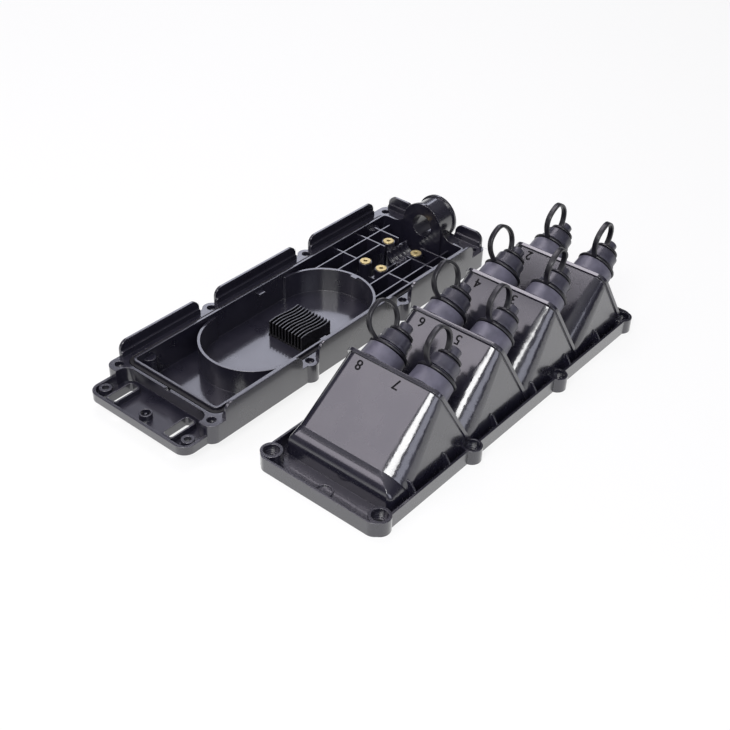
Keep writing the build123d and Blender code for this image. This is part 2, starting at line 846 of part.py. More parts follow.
def brass_inserts():
    """The four threaded inserts in their columns."""
    low = inner_wall_top + insert_proud - insert_length
    bodies = []
    for x, y in (insert_near, insert_far):
        for side in (-1, 1):
            ring = Circle(insert_r) - Circle(insert_hole_r)
            bodies.append(Pos(x, side * y, low) * extrude(ring, insert_length))
    return bodies


def wave(y):
    """Arcs that swing to either side of a line along X."""
    length = (comb_far - comb_near) / comb_waves
    arcs = []
    for index in range(comb_waves):
        start = comb_near + index * length
        swing = comb_wave if index % 2 == 0 else -comb_wave
        arcs.append(ThreePointArc((start, y), (start + length / 2, y + swing), (start + length, y)))
    return arcs


def comb_fin(y):
    """One wavy upright fin along X."""
    half = comb_fin_thick / 2
    upper = wave(y + half)
    lower = wave(y - half)
    ends = [Line((x, y - half), (x, y + half)) for x in (comb_near, comb_far)]
    outline = make_face([*upper, *lower, *ends])
    return Pos(0, 0, tray_floor) * extrude(outline, comb_height)


def splice_comb():
    """The soft comb that holds the splice sleeves between its fins."""
    body = block(comb_near, comb_far, comb_low, comb_high, tray_floor, tray_floor + comb_base)
    span = comb_high - comb_low - comb_fin_thick - 2 * comb_wave
    for index in range(comb_fins):
        y = comb_low + comb_wave + comb_fin_thick / 2 + index * span / (comb_fins - 1)
        body += comb_fin(y)
    return body


def save(name, shape):
    """Write one node's file; several solids go in as one group."""
    if isinstance(shape, list):
        shape = Compound(children=shape)
    export_step(shape, f"parts/{name}.step")


def main():
    """Build every node and write its file."""
    save("cover_shell", cover_place * cover_shell())
    save("base_tray", tray_place * base_tray())
    save("rim_seal", tray_place * rim_seal())
    save("brass_inserts", [tray_place * one for one in brass_inserts()])
    save("splice_comb", tray_place * splice_comb())
    ports = port_planes()
    nuts = []
    seals = []
    for number in sorted(ports):
        place = cover_place * ports[number].location
        save(f"adapter_{number}", place * adapter())
        save(f"dust_cap_{number}", place * dust_cap())
        save(f"cap_seal_{number}", place * cap_seal())
        save(f"tether_{number}", place * tether(loop_leans[number - 1]))
        nuts.append(place * adapter_nut())
        seals.append(place * adapter_seal())
    save("adapter_nuts", nuts)
    save("adapter_seals", seals)


main()
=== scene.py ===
"""Looks of an eight-port fibre terminal, unscrewed: its open base tray and, beside it, its ported cover."""

import json
import logging
import math
from dataclasses import dataclass, field
from enum import Enum

import bmesh
import bpy
from mathutils import Matrix, Vector
from mathutils.bvhtree import BVHTree


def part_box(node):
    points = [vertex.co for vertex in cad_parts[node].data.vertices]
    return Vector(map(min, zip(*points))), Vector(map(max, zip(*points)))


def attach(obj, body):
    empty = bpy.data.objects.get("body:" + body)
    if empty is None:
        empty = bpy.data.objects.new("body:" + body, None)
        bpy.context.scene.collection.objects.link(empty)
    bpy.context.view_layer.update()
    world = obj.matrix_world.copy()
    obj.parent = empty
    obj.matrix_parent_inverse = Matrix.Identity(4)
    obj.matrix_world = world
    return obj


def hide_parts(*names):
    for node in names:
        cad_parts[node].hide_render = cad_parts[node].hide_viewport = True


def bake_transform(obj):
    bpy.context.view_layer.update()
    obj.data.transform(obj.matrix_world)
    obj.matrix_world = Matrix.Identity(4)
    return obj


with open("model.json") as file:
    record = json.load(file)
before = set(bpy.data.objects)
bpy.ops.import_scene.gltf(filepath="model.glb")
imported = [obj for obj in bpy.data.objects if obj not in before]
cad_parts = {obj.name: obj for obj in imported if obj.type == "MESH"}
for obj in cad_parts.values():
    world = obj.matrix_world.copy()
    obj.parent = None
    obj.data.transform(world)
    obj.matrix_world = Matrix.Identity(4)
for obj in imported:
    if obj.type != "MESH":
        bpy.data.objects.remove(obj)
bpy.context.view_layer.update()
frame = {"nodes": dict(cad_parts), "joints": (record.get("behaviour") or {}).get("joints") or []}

log = logging.getLogger("terminal")

MM = 0.001
WELD_MM = 0.001
FIXED_BODY = "terminal"
PORT_NUMBERS = range(1, 9)


class Shine(Enum):
    """How a mould was finished, which sets how sharp the reflections are."""

    POLISHED = 0.27
    SATIN = 0.31
    FINE_SPARK = 0.42
    SOFT = 0.5
    ROUGH = 0.75


def linear_colour(hex_code: str) -> tuple[float, float, float, float]:
    """Turn an sRGB hex colour into linear values.

    Args:
        hex_code: Six hex digits after a hash sign.

    Returns:
        Linear red, green, blue and an alpha of one.
    """
    channels = []
    for start in (1, 3, 5):
        value = int(hex_code[start:start + 2], 16) / 255
        if value <= 0.04045:
            channels.append(value / 12.92)
        else:
            channels.append(((value + 0.055) / 1.055) ** 2.4)
    return (*channels, 1.0)


def add_node(
    tree: bpy.types.NodeTree,
    kind: str,
    links: dict[str, bpy.types.NodeSocket] | None = None,
    values: dict[str, object] | None = None,
    **settings: object,
) -> bpy.types.Node:
    """Add one node with its settings, values and links.

    Args:
        tree: The node tree that the node goes into.
        kind: Blender's name for the kind of node.
        links: Output sockets by the name of the input that each feeds.
        values: Plain values by input name.
        **settings: The node's own properties.

    Returns:
        The new node.
    """
    node = tree.nodes.new(kind)
    for name, value in settings.items():
        setattr(node, name, value)
    for name, value in (values or {}).items():
        node.inputs[name].default_value = value
    for name, socket in (links or {}).items():
        tree.links.new(socket, node.inputs[name])
    return node


@dataclass(frozen=True)
class MouldedPolymer:
    """A moulded plastic or rubber skin: its colour, gloss, mould grain and flow marks.

    Real mould grain is 0.05 to 0.2 mm wide. It is drawn coarser, at grain_mm, so that it shows.
    """

    name: str
    colour: str
    flow_colour: str
    shine: Shine
    ior: float
    coat: float
    coat_roughness: float
    coat_ior: float
    grain_mm: float
    grain_strength: float
    flow_mm: float = 22.0
    roughness_spread: float = 0.08
    flow_detail: float = 3.0
    flow_breakup: float = 0.55
    grain_detail: float = 2.0
    grain_depth: float = 0.1
    tone_span: tuple[float, float] = (0.3, 0.75)
    gloss_span: tuple[float, float] = (0.3, 0.7)

    def material(self) -> bpy.types.Material:
        """Make the material.

        Returns:
            A node material in the object's own coordinates, in metres.
        """
        material = bpy.data.materials.new(self.name)
        material.use_nodes = True
        tree = material.node_tree
        tree.nodes.clear()
        place = add_node(tree, "ShaderNodeTexCoord").outputs["Object"]
        flow = add_node(
            tree,
            "ShaderNodeTexNoise",
            links={"Vector": place},
            values={
                "Scale": 1 / (self.flow_mm * MM),
                "Detail": self.flow_detail,
                "Roughness": self.flow_breakup,
            },
        )
        tone = self.mixed_tone(tree, flow.outputs["Fac"])
        low = self.shine.value - self.roughness_spread
        high = self.shine.value + self.roughness_spread
        gloss = add_node(
            tree,
            "ShaderNodeMapRange",
            links={"Value": flow.outputs["Fac"]},
            values={
                "From Min": self.gloss_span[0],
                "From Max": self.gloss_span[1],
                "To Min": low,
                "To Max": high,
            },
        )
        grain = add_node(
            tree,
            "ShaderNodeTexNoise",
            links={"Vector": place},
            values={"Scale": 1 / (self.grain_mm * MM), "Detail": self.grain_detail},
        )
        bump = add_node(
            tree,
            "ShaderNodeBump",
            links={"Height": grain.outputs["Fac"]},
            values={"Strength": self.grain_strength, "Distance": self.grain_depth * self.grain_mm * MM},
        )
        shader = add_node(
            tree,
            "ShaderNodeBsdfPrincipled",
            links={
                "Base Color": tone,
                "Roughness": gloss.outputs["Result"],
                "Normal": bump.outputs["Normal"],
            },
            values={
                "IOR": self.ior,
                "Coat Weight": self.coat,
                "Coat Roughness": self.coat_roughness,
                "Coat IOR": self.coat_ior,
            },
        )
        add_node(tree, "ShaderNodeOutputMaterial", links={"Surface": shader.outputs["BSDF"]})
        return material

    def mixed_tone(self, tree: bpy.types.NodeTree, factor: bpy.types.NodeSocket) -> bpy.types.NodeSocket:
        """Blend the two colours by a factor.

        Args:
            tree: The material's tree.
            factor: The socket that says how much of the flow colour shows.

        Returns:
            The socket that carries the blended colour.
        """
        ramp = add_node(tree, "ShaderNodeValToRGB", links={"Fac": factor})
        stops = zip(ramp.color_ramp.elements, self.tone_span, (self.colour, self.flow_colour))
        for stop, place, colour in stops:
            stop.position = place
            stop.color = linear_colour(colour)
        return ramp.outputs["Color"]


@dataclass(frozen=True)
class TurnedBrass:
    """Turned brass, whose fine tool marks break up its gloss.

    Real tool marks are about 0.1 mm apart. They are drawn coarser, at tool_mark_mm, so that they show.
    """

    name: str
    colour: str
    roughness: float
    tool_mark_mm: float
    roughness_spread: float = 0.08
    mark_detail: float = 3.0
    mark_strength: float = 0.3
    mark_depth_mm: float = 0.05

    def material(self) -> bpy.types.Material:
        """Make the material.

        Returns:
            A node material in the object's own coordinates, in metres.
        """
        material = bpy.data.materials.new(self.name)
        material.use_nodes = True
        tree = material.node_tree
        tree.nodes.clear()
        place = add_node(tree, "ShaderNodeTexCoord").outputs["Object"]
        marks = add_node(
            tree,
            "ShaderNodeTexNoise",
            links={"Vector": place},
            values={"Scale": 1 / (self.tool_mark_mm * MM), "Detail": self.mark_detail},
        )
        bump = add_node(
            tree,
            "ShaderNodeBump",
            links={"Height": marks.outputs["Fac"]},
            values={"Strength": self.mark_strength, "Distance": self.mark_depth_mm * MM},
        )
        gloss = add_node(
            tree,
            "ShaderNodeMapRange",
            links={"Value": marks.outputs["Fac"]},
            values={
                "To Min": self.roughness - self.roughness_spread,
                "To Max": self.roughness + self.roughness_spread,
            },
        )
        shader = add_node(
            tree,
            "ShaderNodeBsdfPrincipled",
            links={"Roughness": gloss.outputs["Result"], "Normal": bump.outputs["Normal"]},
            values={"Base Color": linear_colour(self.colour), "Metallic": 1.0},
        )
        add_node(tree, "ShaderNodeOutputMaterial", links={"Surface": shader.outputs["BSDF"]})
        return material


# Black PC/ABS from a polished mould: bluish black under a clear skin, with sharp, bright reflections
COVER_PLASTIC = MouldedPolymer(
    name="polished_black_pc_abs",
    colour="#191823",
    flow_colour="#1f1e2a",
    shine=Shine.POLISHED,
    ior=1.58,
    coat=1.0,
    coat_roughness=0.12,
    coat_ior=1.6,
    grain_mm=2.4,
    grain_strength=0.008,
    roughness_spread=0.05,
)
# The tray is the same plastic from a mould with a satin skin: softer reflections
TRAY_PLASTIC = MouldedPolymer(
    name="satin_black_pc_abs",
    colour="#191823",
    flow_colour="#1f1e2a",
    shine=Shine.SATIN,
    ior=1.58,
    coat=1.0,
    coat_roughness=0.12,
    coat_ior=1.6,
    grain_mm=1.6,
    grain_strength=0.08,
    roughness_spread=0.06,
)
# The port figures are matt and coloured darker than the cover: the matt skin is real, and the darker colour
# is painted shade that makes them read as dark strokes where the panel shines
FIGURE_PLASTIC = MouldedPolymer(
    name="spark_eroded_painted_shade_pc_abs",
    # painted shade: this colour is darker than the cover's own plastic
    colour="#0c0b0e",
    flow_colour="#100f12",
    shine=Shine.ROUGH,
    ior=1.3,
    coat=0.0,
    coat_roughness=0.5,
    coat_ior=1.5,
    grain_mm=0.5,
    grain_strength=0.5,
)
# The adapters are glass-filled nylon: a greyer black with a dull, cloudy skin
PORT_PLASTIC = MouldedPolymer(
    name="glass_filled_nylon",
    colour="#4b4a57",
    flow_colour="#62606f",
    shine=Shine.SOFT,
    ior=1.53,
    coat=0.35,
    coat_roughness=0.35,
    coat_ior=1.5,
    grain_mm=0.9,
    grain_strength=0.3,
    flow_mm=9.0,
)
# The caps are acetal, which comes out of the mould smooth and slightly waxy
CAP_PLASTIC = MouldedPolymer(
    name="moulded_acetal",
    colour="#2b2a35",
    flow_colour="#3b3a47",
    shine=Shine.FINE_SPARK,
    ior=1.48,
    coat=0.5,
    coat_roughness=0.25,
    coat_ior=1.5,
    grain_mm=0.8,
    grain_strength=0.2,
    flow_mm=8.0,
)
# Tethers are soft thermoplastic rubber: blacker than the caps, with a dim, even sheen
TETHER_RUBBER = MouldedPolymer(
    name="moulded_black_tpe",
    colour="#0d0c13",
    flow_colour="#12111a",
    shine=Shine.FINE_SPARK,
    ior=1.5,
    coat=0.2,
    coat_roughness=0.25,
    coat_ior=1.5,
    grain_mm=0.7,
    grain_strength=0.12,
    flow_mm=10.0,
)
# Seals are plain silicone rubber, dull and dark
SEAL_RUBBER = MouldedPolymer(
    name="matt_silicone",
    colour="#0a090b",
    flow_colour="#0f0e11",
    shine=Shine.SOFT,
    ior=1.43,
    coat=0.0,
    coat_roughness=0.5,
    coat_ior=1.5,
    grain_mm=0.6,
    grain_strength=0.3,
)
# The splice comb is soft black rubber: dark between the fins, a line of light along each tip
COMB_RUBBER = MouldedPolymer(
    name="soft_comb_rubber",
    colour="#09080b",
    flow_colour="#0e0d10",
    shine=Shine.SATIN,
    ior=1.5,
    coat=0.6,
    coat_roughness=0.2,
    coat_ior=1.5,
    grain_mm=0.8,
    grain_strength=0.15,
)
# Free-cutting brass: pale yellow, with a soft, broken gleam from the lathe
INSERT_BRASS = TurnedBrass(name="turned_brass", colour="#e0cd94", roughness=0.42, tool_mark_mm=0.5)


def new_piece(
    name: str,
    points: list[Vector],
    faces: list[tuple[int, ...]],
    smooth: bool = True,
) -> bpy.types.Object:
    """Make a mesh object in the scene.

    Args:
        name: The piece's name.
        points: Corner points in metres.
        faces: Corner numbers of each face.
        smooth: Whether faces are shaded as one smooth skin.

    Returns:
        The new object.
    """
    mesh = bpy.data.meshes.new(name)
    mesh.from_pydata([tuple(p) for p in points], [], faces)
    mesh.polygons.foreach_set("use_smooth", [smooth] * len(mesh.polygons))
    mesh.update()
    return in_scene(name, mesh)


def in_scene(name: str, data: bpy.types.ID) -> bpy.types.Object:
    """Stand a mesh, curve or text in the scene.

    Args:
        name: The object's name.
        data: What it shows.

    Returns:
        The new object.
    """
    piece = bpy.data.objects.new(name, data)
    bpy.context.scene.collection.objects.link(piece)
    return piece


def settled_mesh(shown: bpy.types.Object) -> bpy.types.Mesh:
    """Give the mesh that an object shows once its modifiers have run.

    Args:
        shown: The object.

    Returns:
        A mesh of its own.
    """
    bpy.context.view_layer.update()
    return bpy.data.meshes.new_from_object(shown.evaluated_get(bpy.context.evaluated_depsgraph_get()))


def combine(piece: bpy.types.Object, other: bpy.types.Object, operation: str) -> None:
    """Add an exact boolean to a piece.

    Args:
        piece: The piece that is changed.
        other: The closed form that it is changed by.
        operation: Blender's name for the change.
    """
    change = piece.modifiers.new(operation.lower(), "BOOLEAN")
    change.operation = operation
    change.solver = "EXACT"
    change.object = other


def soften_edges(piece: bpy.types.Object, width_mm: float, sharp_from: float) -> None:
    """Round a piece's sharp edges a little, as a mould does.

    Args:
        piece: The piece.
        width_mm: How far back from the edge the rounding starts.
        sharp_from: The least angle in degrees that counts as an edge.
    """
    edge = piece.modifiers.new("soft_edges", "BEVEL")
    edge.width = width_mm * MM
    edge.segments = 2
    edge.limit_method = "ANGLE"
    edge.angle_limit = math.radians(sharp_from)
    edge.use_clamp_overlap = False
    shade = piece.modifiers.new("even_shade", "WEIGHTED_NORMAL")
    shade.keep_sharp = False


def point_out(mesh: bpy.types.Mesh) -> None:
    """Turn a closed mesh's faces outwards.

    Args:
        mesh: The mesh.
    """
    work = bmesh.new()
    work.from_mesh(mesh)
    bmesh.ops.recalc_face_normals(work, faces=work.faces)
    work.to_mesh(mesh)
    work.free()


def closed_tube(rows: list[list[Vector]], closed_round: bool) -> tuple[list[Vector], list[tuple[int, ...]]]:
    """Join rows of section points into a tube.

    Args:
        rows: One ring of points for each station, all of one count.
        closed_round: Whether the last station joins the first; otherwise both ends are capped.

    Returns:
        The points and the faces.
    """
    count = len(rows[0])
    points = [p for row in rows for p in row]
    faces = []
    stations = len(rows) if closed_round else len(rows) - 1
    for station in range(stations):
        here = station * count
        there = ((station + 1) % len(rows)) * count
        for index in range(count):
            after = (index + 1) % count
            faces.append((here + index, here + after, there + after, there + index))
    if not closed_round:
        faces.append(tuple(reversed(range(count))))
        last = (len(rows) - 1) * count
        faces.append(tuple(range(last, last + count)))
    return points, faces


def rounded_section(width: float, height: float, corner: float, steps: int) -> list[tuple[float, float]]:
    """Give the outline of a rectangle with rounded corners.

    Args:
        width: Full width.
        height: Full height.
        corner: Corner radius.
        steps: Points on each corner, less one.

    Returns:
        Points round the outline, anticlockwise.
    """
    points = []
    for quarter in range(4):
        centre_x = (width / 2 - corner) * (1 if quarter in (0, 3) else -1)
        centre_y = (height / 2 - corner) * (1 if quarter in (0, 1) else -1)
        for step in range(steps + 1):
            angle = math.radians(90) * (quarter + step / steps)
            points.append((centre_x + corner * math.cos(angle), centre_y + corner * math.sin(angle)))
    return points


@dataclass
class Port:
    """One port's own axes, worked out from the frame's joints."""

    number: int
    origin: Vector = field(init=False)
    out: Vector = field(init=False)

    def __post_init__(self) -> None:
        """Read the port's axis from the joint that turns its cap."""
        joint = next(j for j in frame["joints"] if j["name"] == f"cap_{self.number}_turn")
        self.origin = Vector(joint["pos_m"])
        self.out = Vector(joint["axis"]).normalized()

    def placement(self) -> Matrix:
        """Give the matrix from port axes, with Z outwards and Y up, to the frame."""
        across = Vector((0, 1, 0))
        up = self.out.cross(across)
        return Matrix.Translation(self.origin) @ Matrix((across, up, self.out)).transposed().to_4x4()


@dataclass
class Tethers:
    """The eight tethers: a ring on the adapter, a strap loop and an eyelet at the cap, in millimetres."""

    ring_outer: float = 17.0
    ring_inner: float = 12.3
    ring_middle: float = 15.4
    ring_thick: float = 2.8
    ring_corner: float = 1.2
    eyelet_outer: float = 10.2
    eyelet_inner: float = 5.0
    eyelet_middle: float = 32.3
    eyelet_thick: float = 2.4
    eyelet_corner: float = 0.8
    strap_width: float = 4.6
    strap_thick: float = 2.5
    strap_corner: float = 0.8
    loop_height: float = 35.0
    loop_middle: float = 30.5
    loop_half: float = 9.5
    loop_out: float = 44.5
    rise_share: float = 0.4
    low_share: float = 0.93
    high_share: float = 0.96
    lathe_steps: int = 72
    ring_steps: int = 4
    strap_steps: int = 3
    line_steps: int = 10
    sharp_from: float = 50.0
    leans: tuple[float, ...] = (3.0, -2.0, 5.0, -16.0, -3.0, -17.0, -6.0, -24.0)

    def ring(
        self,
        outer: float,
        inner: float,
        middle: float,
        thick: float,
        corner: float,
    ) -> bpy.types.Object:
        """Turn one rounded ring about the port's axis.

        Args:
            outer: Outer radius.
            inner: Inner radius.
            middle: Height of its middle on the axis.
            thick: Thickness along the axis.
            corner: Radius of its edges.

        Returns:
            The ring as an object in port axes.
        """
        section = rounded_section(outer - inner, thick, corner, self.ring_steps)
        rows = []
        for step in range(self.lathe_steps):
            angle = 2 * math.pi * step / self.lathe_steps
            row = []
            for radial, height in section:
                reach = (inner + outer) / 2 + radial
                row.append(Vector((reach * math.cos(angle), reach * math.sin(angle), middle + height)) * MM)
            rows.append(row)
        points, faces = closed_tube(rows, closed_round=True)
        return new_piece("ring", points, faces)

    def centre_line(self) -> list[Vector]:
        """Follow one smooth spline through the strap's loop, in port axes and metres."""
        root = self.ring_outer - self.strap_thick
        tip = self.eyelet_outer - self.strap_thick
        route = [
            (root, self.ring_middle),
            (root + (self.loop_height - root) * self.rise_share, self.ring_middle),
            (self.loop_height * self.low_share, self.loop_middle - self.loop_half),
            (self.loop_height, self.loop_middle),
            (self.loop_height * self.high_share, self.loop_middle + self.loop_half),
            ((self.loop_height + tip) / 2, self.loop_out),
            (tip + self.strap_thick, (self.loop_out + self.eyelet_middle) / 2),
            (tip, self.eyelet_middle),
        ]
        curve = bpy.data.curves.new("strap_line", "CURVE")
        curve.dimensions = "3D"
        spline = curve.splines.new("NURBS")
        spline.points.add(len(route) - 1)
        for point, (y, z) in zip(spline.points, route):
            point.co = (0, y * MM, z * MM, 1)
        spline.order_u = 3
        spline.use_endpoint_u = True
        spline.resolution_u = self.line_steps
        holder = in_scene("strap_line", curve)
        mesh = settled_mesh(holder)
        line = [v.co.copy() for v in mesh.vertices]
        bpy.data.objects.remove(holder)
        bpy.data.meshes.remove(mesh)
        return line

    def strap(self) -> bpy.types.Object:
        """Sweep the strap's rounded section along its loop.

        Returns:
            The strap as an object in port axes.
        """
        line = self.centre_line()
        section = rounded_section(self.strap_width, self.strap_thick, self.strap_corner, self.strap_steps)
        rows = []
        for index, centre in enumerate(line):
            ahead = line[min(index + 1, len(line) - 1)]
            behind = line[max(index - 1, 0)]
            run = (ahead - behind).normalized()
            side = Vector((1, 0, 0))
            upright = run.cross(side)
            rows.append([centre + (side * wide + upright * high) * MM for wide, high in section])
        points, faces = closed_tube(rows, closed_round=False)
        return new_piece("strap", points, faces)

    def shape(self) -> bpy.types.Mesh:
        """Join ring, strap and eyelet into one skin.

        Returns:
            The mesh of one tether in port axes.
        """
        whole = self.ring(
            self.ring_outer,
            self.ring_inner,
            self.ring_middle,
            self.ring_thick,
            self.ring_corner,
        )
        eyelet = self.ring(
            self.eyelet_outer,
            self.eyelet_inner,
            self.eyelet_middle,
            self.eyelet_thick,
            self.eyelet_corner,
        )
        parts = [self.strap(), eyelet]
        for part in parts:
            combine(whole, part, "UNION")
        mesh = settled_mesh(whole)
        for scrap in (whole, *parts):
            bpy.data.objects.remove(scrap)
        return mesh

    def build(self, finish: bpy.types.Material) -> list[bpy.types.Object]:
        """Place a tether on every port, each turned about the port's axis by its own lean.

        Args:
            finish: The rubber that they are moulded from.

        Returns:
            The eight pieces.
        """
        pattern = self.shape()
        pieces = []
        for number in PORT_NUMBERS:
            port = Port(number)
            mesh = pattern.copy()
            mesh.transform(port.placement() @ Matrix.Rotation(math.radians(self.leans[number - 1]), 4, "Z"))
            piece = in_scene(f"tether_strap_{number}", mesh)
            mesh.materials.clear()
            mesh.materials.append(finish)
            mesh.shade_smooth()
            mesh.set_sharp_from_angle(angle=math.radians(self.sharp_from))
            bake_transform(piece)
            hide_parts(f"tether_{number}")
            pieces.append(piece)
        return pieces


@dataclass
class PortThreads:
    """The coarse moulded thread on each adapter, which shows when its cap is screwed out, in millimetres."""

    root_r: float = 10.4
    crest_r: float = 10.68
    start: float = 19.4
    pitch: float = 3.0
    turns: float = 2.4
    root_width: float = 1.5
    crest_width: float = 0.7
    steps_per_turn: int = 60
    run_out: float = 0.12
    least_high: float = 0.05
    sharp_from: float = 30.0

    def shape(self) -> tuple[list[Vector], list[tuple[int, ...]]]:
        """Wind the ridge's section along its helix, fading in and out at the ends.

        Returns:
            Points and faces in port axes.
        """
        steps = int(self.turns * self.steps_per_turn)
        rows = []
        for step in range(steps + 1):
            angle = 2 * math.pi * step / self.steps_per_turn
            height = self.start + self.pitch * step / self.steps_per_turn
            share = min(step, steps - step) / (self.run_out * steps)
            least = self.root_r + self.least_high
            crest = least + (self.crest_r - least) * min(1.0, share)
            section = (
                (self.root_r, -self.root_width / 2),
                (crest, -self.crest_width / 2),
                (crest, self.crest_width / 2),
                (self.root_r, self.root_width / 2),
            )
            row = [Vector((r * math.cos(angle), r * math.sin(angle), height + z)) * MM for r, z in section]
            rows.append(row)
        return closed_tube(rows, closed_round=False)

    def build(self, finish: bpy.types.Material) -> list[bpy.types.Object]:
        """Put the thread on every adapter.

        Args:
            finish: The adapters' plastic.

        Returns:
            The eight pieces.
        """
        points, faces = self.shape()
        pieces = []
        for number in PORT_NUMBERS:
            place = Port(number).placement()
            piece = new_piece(f"port_thread_{number}", [place @ p for p in points], faces)
            piece.data.set_sharp_from_angle(angle=math.radians(self.sharp_from))
            piece.data.materials.append(finish)
            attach(piece, FIXED_BODY)
            pieces.append(piece)
        return pieces


@dataclass
class SpliceComb:
    """The soft comb in the fibre basin: a base and a row of gently curved fins, in millimetres."""

    fins: int = 11
    fin_thick: float = 1.3
    swing: float = 0.9
    base_thick: float = 1.6
    edge: float = 0.25
    sharp_from: float = 30.0
    steps: int = 28

    def fin(self, low: Vector, high: Vector, middle_y: float) -> tuple[list[Vector], list[tuple[int, ...]]]:
        """Stand one fin up, its line swinging once to each side.

        Args:
            low: The comb's lowest corner.
            high: The comb's highest corner.
            middle_y: The line that the fin follows.

        Returns:
            Points and faces.
        """
        rows = []
        half = self.fin_thick * MM / 2
        for step in range(self.steps + 1):
            share = step / self.steps
            x = low.x + (high.x - low.x) * share
            y = middle_y + self.swing * MM * math.sin(2 * math.pi * share)
            rows.append(
                [
                    Vector((x, y - half, low.z)),
                    Vector((x, y + half, low.z)),
                    Vector((x, y + half, high.z)),
                    Vector((x, y - half, high.z)),
                ]
            )
        return closed_tube(rows, closed_round=False)

    def build(self, finish: bpy.types.Material) -> bpy.types.Object:
        """Make the comb where its node stands.

        Args:
            finish: The rubber that it is moulded from.

        Returns:
            The piece.
        """
        low, high = (Vector(corner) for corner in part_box("splice_comb"))
        base_top = low.z + self.base_thick * MM
        sides_x = (low.x, high.x)
        sides_y = (low.y, high.y)
        points = [Vector((x, y, z)) for x in sides_x for y in sides_y for z in (low.z, base_top)]
        faces = [(0, 1, 3, 2), (4, 6, 7, 5), (0, 4, 5, 1), (2, 3, 7, 6), (0, 2, 6, 4), (1, 5, 7, 3)]
        margin = (self.swing + self.fin_thick / 2) * MM
        for index in range(self.fins):
            share = index / (self.fins - 1)
            middle_y = low.y + margin + (high.y - low.y - 2 * margin) * share
            fin_points, fin_faces = self.fin(low, high, middle_y)
            start = len(points)
            points += fin_points
            faces += [tuple(start + corner for corner in face) for face in fin_faces]
        piece = new_piece("comb_fins", points, faces)
        piece.data.materials.append(finish)
        soften_edges(piece, self.edge, self.sharp_from)
        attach(piece, FIXED_BODY)
        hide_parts("splice_comb")
        return piece


@dataclass
class MouldedCover:
    """The cover's form with its nose rolled over and a well in each screw boss, in millimetres."""

    screw_margin: float = 11.0
    screw_rows: tuple[float, ...] = (0.0, 103.0, 220.5, 329.0)
    corner_screw_half: float = 51.4
    middle_screw_half: float = 55.5
    well_radius: float = 6.2
    well_depth: float = 5.0
    rim_height: float = 13.0
    nose_front: float = 24.0
    nose_height: float = 19.5
    nose_slope: float = 28.1
    nose_half: float = 49.0
    roll_radius: float = 15.0
    clear: float = 2.0
    round_steps: int = 14

    def wells(self) -> list[list[list[Vector]]]:
        """Give the cutter of each screw boss's well, as two rings each."""
        cutters = []
        for row in self.screw_rows:
            is_corner = row in (self.screw_rows[0], self.screw_rows[-1])
            half = self.corner_screw_half if is_corner else self.middle_screw_half
            for side in (-1, 1):
                rings = []
                for height in (self.rim_height - self.well_depth, self.rim_height + self.clear):
                    ring = []
                    for step in range(4 * self.round_steps):
                        angle = math.radians(90) * step / self.round_steps
                        x = self.screw_margin + row + self.well_radius * math.cos(angle)
                        ring.append(Vector((x, side * half + self.well_radius * math.sin(angle), height)))
                    rings.append(ring)
                cutters.append(rings)
        return cutters

    def nose_roll(self) -> list[list[Vector]]:
        """Give the cutter that rolls the nose's front edge over, as two outlines."""
        turn = math.radians(90 - self.nose_slope)
        reach = self.roll_radius * math.tan(turn / 2)
        centre_x = self.nose_front + self.roll_radius
        centre_z = self.nose_height - reach
        outline = []
        for step in range(self.round_steps + 1):
            angle = math.radians(180) - turn * step / self.round_steps
            x = centre_x + self.roll_radius * math.cos(angle)
            outline.append((x, centre_z + self.roll_radius * math.sin(angle)))
        top_x, top_z = outline[-1]
        outline.append((top_x - self.clear * math.cos(turn), top_z + self.clear * math.sin(turn)))
        outline.append((self.nose_front - self.clear, self.nose_height + self.clear))
        outline.append((self.nose_front - self.clear, centre_z))
        return [[Vector((x, y, z)) for x, z in outline] for y in (-self.nose_half, self.nose_half)]

    def build(self) -> bpy.types.Object:
        """Make the cover in place of its node.

        Returns:
            The piece.
        """
        low, high = (Vector(corner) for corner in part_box("cover_shell"))
        start = Vector((low.x, (low.y + high.y) / 2, low.z))
        points, faces = [], []
        for rings in (*self.wells(), self.nose_roll()):
            ring_points, ring_faces = closed_tube(rings, closed_round=False)
            shift = len(points)
            points += [start + point * MM for point in ring_points]
            faces += [tuple(shift + corner for corner in face) for face in ring_faces]
        cutter = new_piece("cover_cutter", points, faces, smooth=False)
        point_out(cutter.data)
        piece = in_scene("cover_moulding", frame["nodes"]["cover_shell"].data.copy())
        weld = piece.modifiers.new("weld", "WELD")
        weld.merge_threshold = WELD_MM * MM
        combine(piece, cutter, "DIFFERENCE")
        shaped = settled_mesh(piece)
        piece.modifiers.clear()
        piece.data = shaped
        bpy.data.objects.remove(cutter)
        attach(piece, FIXED_BODY)
        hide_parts("cover_shell")
        return piece


